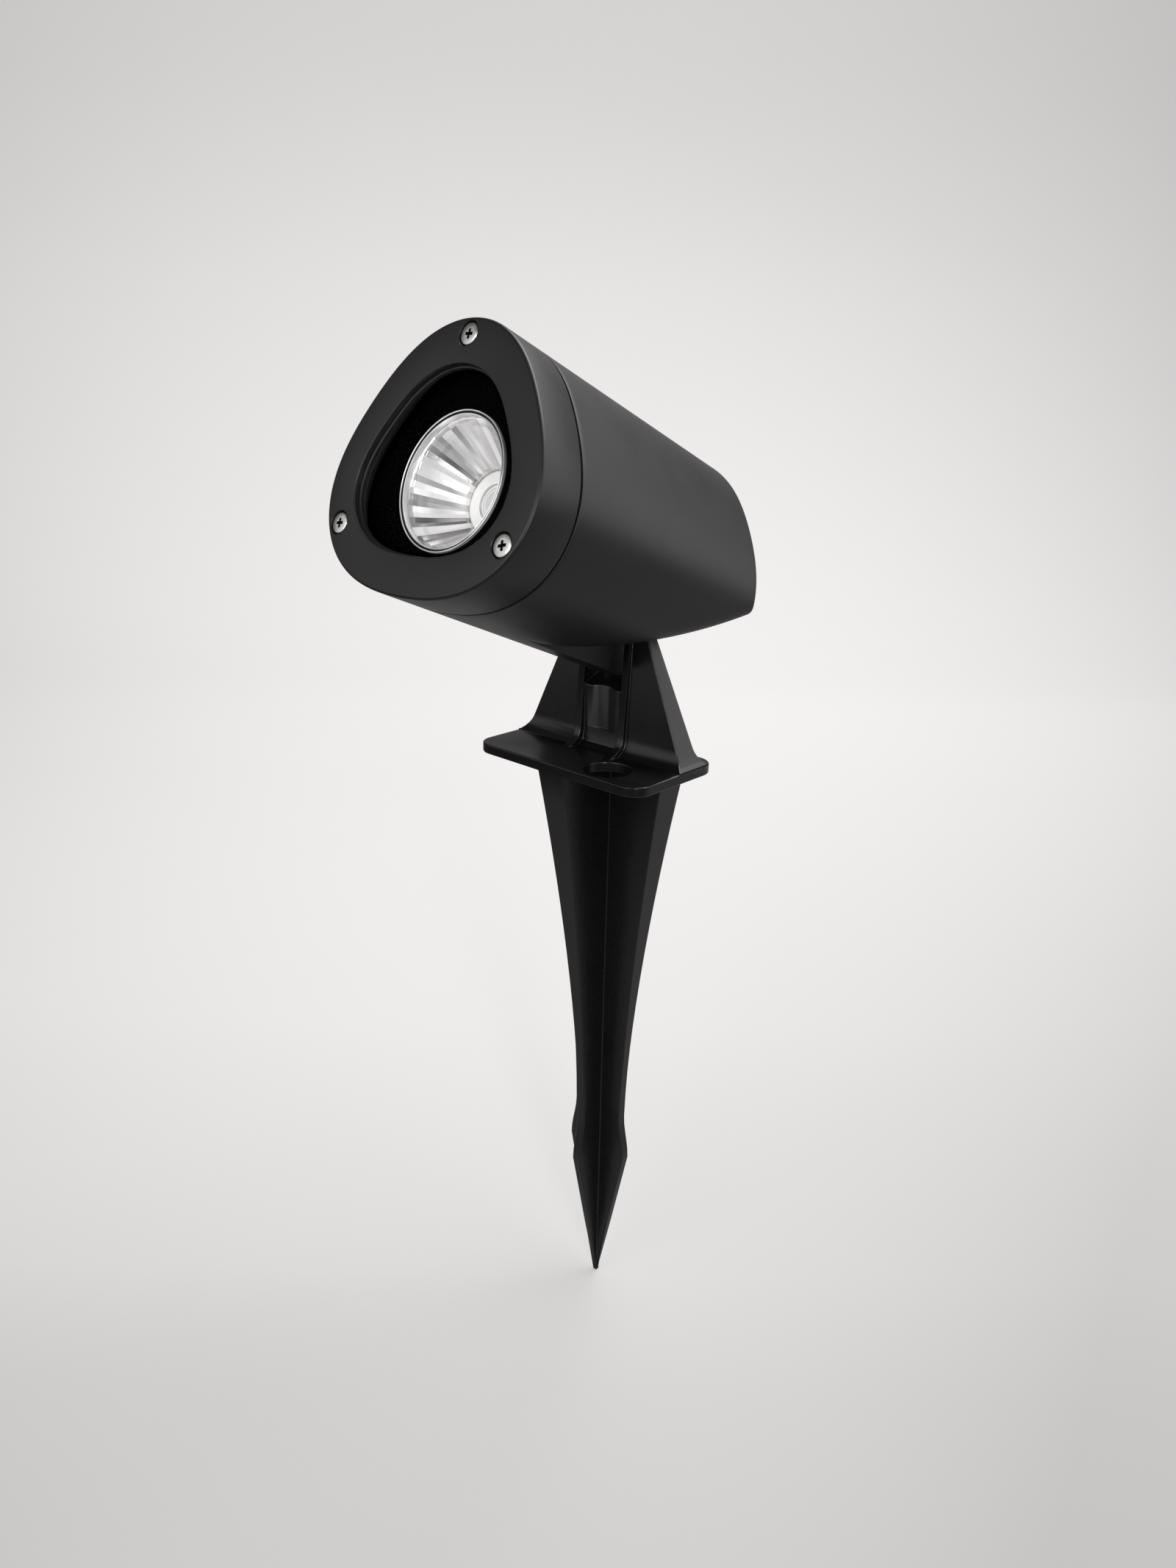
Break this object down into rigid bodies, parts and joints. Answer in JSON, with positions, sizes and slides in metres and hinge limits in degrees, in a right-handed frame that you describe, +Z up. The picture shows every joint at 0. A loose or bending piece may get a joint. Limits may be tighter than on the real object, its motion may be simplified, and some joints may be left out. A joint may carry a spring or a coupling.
{
  "type": "garden spike spotlight",
  "caption": "Black garden spotlight: a tilting cylindrical head with a fluted reflector behind glass, hinged between the ears of a ribbed ground spike.",
  "frame": {"origin": "where the stake's axis leaves the plate's underside, which is soil level when the spike is pushed in", "axes": "+Z up along the stake, +X along the tilt hinge, the light points towards -Y and 22 degrees up"},
  "size_m": [0.0748, 0.1174, 0.3178],
  "materials": {
    "stake_nylon": "moulded, fine even grain",
    "stainless": "plain stainless",
    "friction_fibre": "dull",
    "black_coated_metal": "die-cast, black fine-textured powder coat",
    "seal_rubber": "matt",
    "clear_glass": "clear tempered",
    "black_plastic": "matt",
    "bright_reflector": "bright metallised, fluted",
    "white_plastic": "semi-gloss white",
    "chip_ceramic": "white ceramic",
    "emitter_yellow": "phosphor",
    "pad_blue": "soft pad",
    "plain_aluminium": "machined",
    "board_green": "board with solder mask",
    "brass_parts": "plain",
    "transformer_dark": "varnished",
    "capacitor_sleeve": "sleeve",
    "copper_wound": "enamelled",
    "terminal_green": "moulded",
    "lead_red": "insulation"
  },
  "bodies": {
    "stake": {"stake": "stake_nylon", "pivot_bolt": "stainless", "pivot_nut": "stainless", "pivot_washers": "stainless", "friction_washers": "friction_fibre"},
    "head": {"housing": "black_coated_metal", "bezel": "black_coated_metal", "ring_screws": "stainless", "seam_seal": "seal_rubber", "glass": "clear_glass", "glass_seal": "seal_rubber", "baffle": "black_plastic", "reflector": "bright_reflector", "chip_holder": "white_plastic", "holder_screws": "stainless", "chip_board": "chip_ceramic", "emitter": "emitter_yellow", "thermal_pad": "pad_blue", "heat_plate": "plain_aluminium", "plate_screws": "stainless", "driver_board": "board_green", "board_standoffs": "brass_parts", "board_screws": "stainless", "transformer": "transformer_dark", "capacitor": "capacitor_sleeve", "choke": "copper_wound", "terminal_block": "terminal_green", "chip_leads": "lead_red", "gland_body": "black_plastic", "gland_seal": "seal_rubber", "gland_nut": "black_plastic", "gland_locknut": "black_plastic"}
  },
  "joints": [
    {"name": "head_tilt", "type": "hinge", "parent": "stake", "child": "head", "pos_m": [0, 0, 0.047], "axis": [-1, 0, 0], "range_deg": [-42, 68]}
  ]
}
